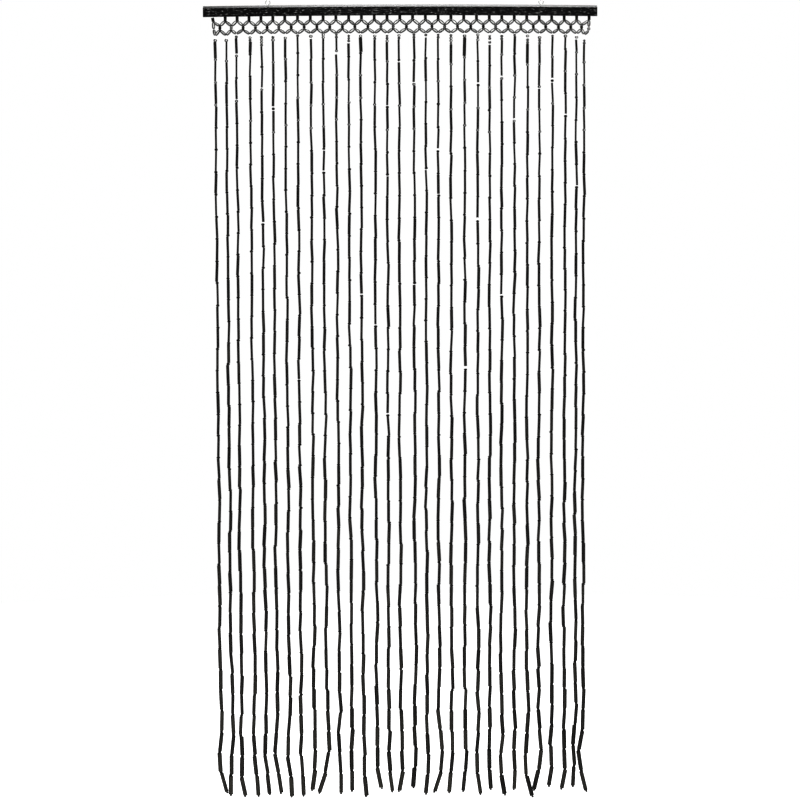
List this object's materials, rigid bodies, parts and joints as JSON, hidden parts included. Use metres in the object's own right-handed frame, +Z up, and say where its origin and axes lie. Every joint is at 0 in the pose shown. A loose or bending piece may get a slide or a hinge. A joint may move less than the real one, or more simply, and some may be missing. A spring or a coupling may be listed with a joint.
{
  "type": "bamboo bead door curtain with its header bar",
  "caption": "Beaded door curtain: black bamboo tubes and small beads strung under a black wooden bar with screw eyes, with a diamond net of oval beads at the top.",
  "frame": {"origin": "on the line through the centres of the two screw eyes' rings, over the middle of the bar's width and depth", "axes": "+X to the right along the bar, -Y to the front, +Z up; the strands hang down along -Z"},
  "size_m": [0.9, 0.0202, 1.85],
  "materials": {
    "black_paint": "black paint, satin, wood grain showing faintly",
    "bright_wire": "bright nickel-plated wire",
    "black_bamboo": "black stain and lacquer on bamboo, satin tubes and glossy beads"
  },
  "bodies": {
    "root": {"header_bar": "black_paint", "screw_eye_left": "bright_wire", "screw_eye_right": "bright_wire", "bead_curtain": "black_bamboo"}
  },
  "joints": []
}
